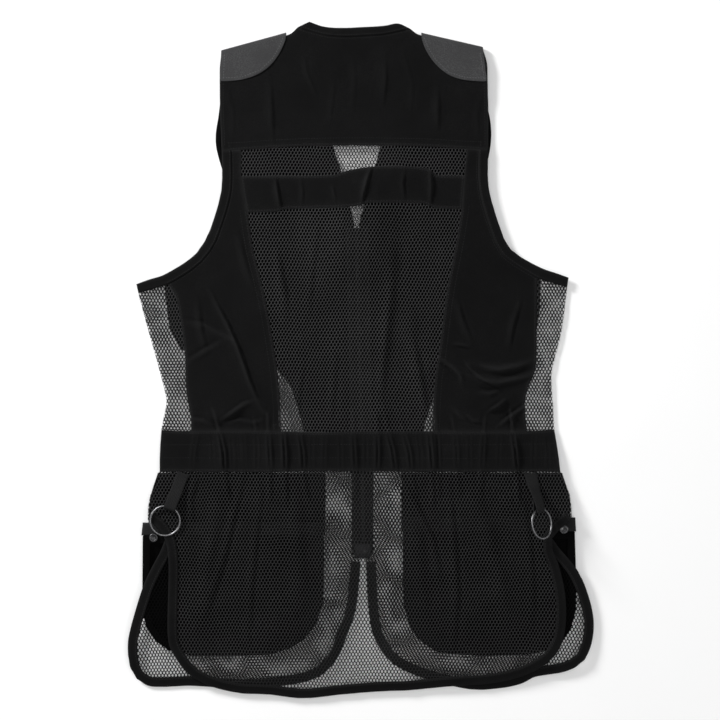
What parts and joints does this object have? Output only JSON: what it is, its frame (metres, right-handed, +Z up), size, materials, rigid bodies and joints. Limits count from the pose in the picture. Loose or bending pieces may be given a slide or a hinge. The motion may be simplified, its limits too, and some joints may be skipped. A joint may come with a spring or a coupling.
{
  "type": "shooting vest laid flat",
  "caption": "Lady's black shooting vest with a mesh back and skirt, grey shoulder patches and ring straps, laid flat on its closed front, seen from the back.",
  "frame": {"origin": "on the surface that the vest lies on, below the middle of the whole vest", "axes": "+Z up off the surface, out of the back panel; +Y from the hem to the collar; +X to the right seen from above, which is the wearer's right side"},
  "size_m": [0.4847, 0.7043, 0.0339],
  "materials": {
    "armhole_binding_left_binding": "matt bound edge",
    "armhole_binding_right_binding": "matt bound edge",
    "back_cross_band_twill": "matt twill",
    "back_mesh_main_mesh": "open warp-knit mesh",
    "back_mesh_upper_mesh": "open warp-knit mesh",
    "back_skirt_binding_binding": "matt bound edge",
    "back_skirt_mesh_mesh": "open warp-knit mesh",
    "back_yoke_twill": "matt twill",
    "front_binding_left_binding": "matt bound edge",
    "front_binding_right_binding": "matt bound edge",
    "front_left_twill": "matt twill",
    "front_right_twill": "matt twill",
    "front_skirt_left_mesh": "open warp-knit mesh",
    "front_skirt_right_mesh": "open warp-knit mesh",
    "neck_binding_binding": "matt bound edge",
    "pocket_band_left_patch": "brushed fine twill",
    "pocket_band_right_patch": "brushed fine twill",
    "pocket_flap_left_twill": "matt twill",
    "pocket_flap_right_twill": "matt twill",
    "pocket_left_twill": "matt twill",
    "pocket_right_twill": "matt twill",
    "ring_left_metal": "dark nickel",
    "ring_right_metal": "dark nickel",
    "ring_strap_left_binding": "matt bound edge",
    "ring_strap_right_binding": "matt bound edge",
    "shoulder_patch_left_patch": "brushed fine twill",
    "shoulder_patch_right_patch": "brushed fine twill",
    "side_back_left_twill": "matt twill",
    "side_back_right_twill": "matt twill",
    "side_mesh_left_mesh": "open warp-knit mesh",
    "side_mesh_right_mesh": "open warp-knit mesh",
    "snap_left_metal": "dark nickel",
    "snap_right_metal": "dark nickel",
    "waistband_twill": "matt twill",
    "zip_metal": "dark nickel",
    "zip_plastic": "woven tape with plastic coil"
  },
  "bodies": {
    "vest": {"armhole_binding_left": "armhole_binding_left_binding", "armhole_binding_right": "armhole_binding_right_binding", "back_cross_band": "back_cross_band_twill", "back_mesh_main": "back_mesh_main_mesh", "back_mesh_upper": "back_mesh_upper_mesh", "back_skirt_binding": "back_skirt_binding_binding", "back_skirt_mesh": "back_skirt_mesh_mesh", "back_yoke": "back_yoke_twill", "front_binding_left": "front_binding_left_binding", "front_binding_right": "front_binding_right_binding", "front_left": "front_left_twill", "front_right": "front_right_twill", "front_skirt_left": "front_skirt_left_mesh", "front_skirt_right": "front_skirt_right_mesh", "neck_binding": "neck_binding_binding", "pocket_band_left": "pocket_band_left_patch", "pocket_band_right": "pocket_band_right_patch", "pocket_flap_left": "pocket_flap_left_twill", "pocket_flap_right": "pocket_flap_right_twill", "pocket_left": "pocket_left_twill", "pocket_right": "pocket_right_twill", "ring_strap_left": "ring_strap_left_binding", "ring_strap_right": "ring_strap_right_binding", "shoulder_patch_left": "shoulder_patch_left_patch", "shoulder_patch_right": "shoulder_patch_right_patch", "side_back_left": "side_back_left_twill", "side_back_right": "side_back_right_twill", "side_mesh_left": "side_mesh_left_mesh", "side_mesh_right": "side_mesh_right_mesh", "snap_left": "snap_left_metal", "snap_right": "snap_right_metal", "waistband": "waistband_twill", "zip_end": "zip_metal", "zip_slider": "zip_metal", "zip_tape": "zip_plastic"},
    "ring_left_body": {"ring_left": "ring_left_metal"},
    "ring_right_body": {"ring_right": "ring_right_metal"},
    "zip_pull_body": {"zip_pull": "zip_metal"}
  },
  "joints": [
    {"name": "ring_left_swing", "type": "hinge", "parent": "vest", "child": "ring_left_body", "pos_m": [-0.19777, -0.15317, 0.01051], "axis": [-0.9371, 0.349, 0], "range_deg": [0, 140]},
    {"name": "ring_right_swing", "type": "hinge", "parent": "vest", "child": "ring_right_body", "pos_m": [0.18415, -0.15441, 0.02208], "axis": [-0.6932, -0.1394, 0.7071], "range_deg": [0, 140]},
    {"name": "zip_pull_swing", "type": "hinge", "parent": "vest", "child": "zip_pull_body", "pos_m": [-0.00374, 0.13402, 0.0012], "axis": [1, 0, 0], "range_deg": [0, 170]}
  ]
}
